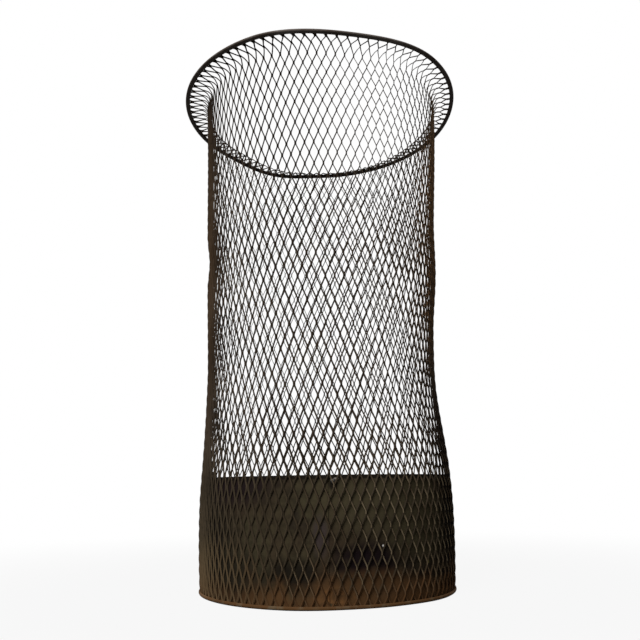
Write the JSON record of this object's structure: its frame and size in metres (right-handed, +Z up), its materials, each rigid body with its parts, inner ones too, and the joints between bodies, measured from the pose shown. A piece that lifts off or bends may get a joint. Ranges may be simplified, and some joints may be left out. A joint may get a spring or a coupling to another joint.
{
  "type": "wire wastebasket",
  "caption": "Tall round open-topped wastebasket of expanded-metal mesh with a flared bound mouth, a solid sheet skirt and floor, and a rolled foot ring.",
  "frame": {"origin": "middle of the foot ring's underside, on the ground", "axes": "+Z up along the basket's axis, -Y towards the front, +X to the right seen from the front"},
  "size_m": [0.3044, 0.3044, 0.508],
  "materials": {
    "mesh": "aged near-black enamel on expanded steel, browned and rusty towards the foot",
    "rim": "worn black enamel with a dull sheen",
    "skirt": "dull olive-black enamel, stained brown, rusty along the foot",
    "floor": "dull olive-black enamel with rust blooms",
    "foot": "rust-brown steel with little enamel left",
    "rivet": "rubbed steel with traces of black enamel"
  },
  "bodies": {
    "root": {"mesh_sleeve": "mesh", "rim_channel": "rim", "skirt_band": "skirt", "floor_pan": "floor", "foot_ring": "foot", "lap_rivet": "rivet"}
  },
  "joints": []
}
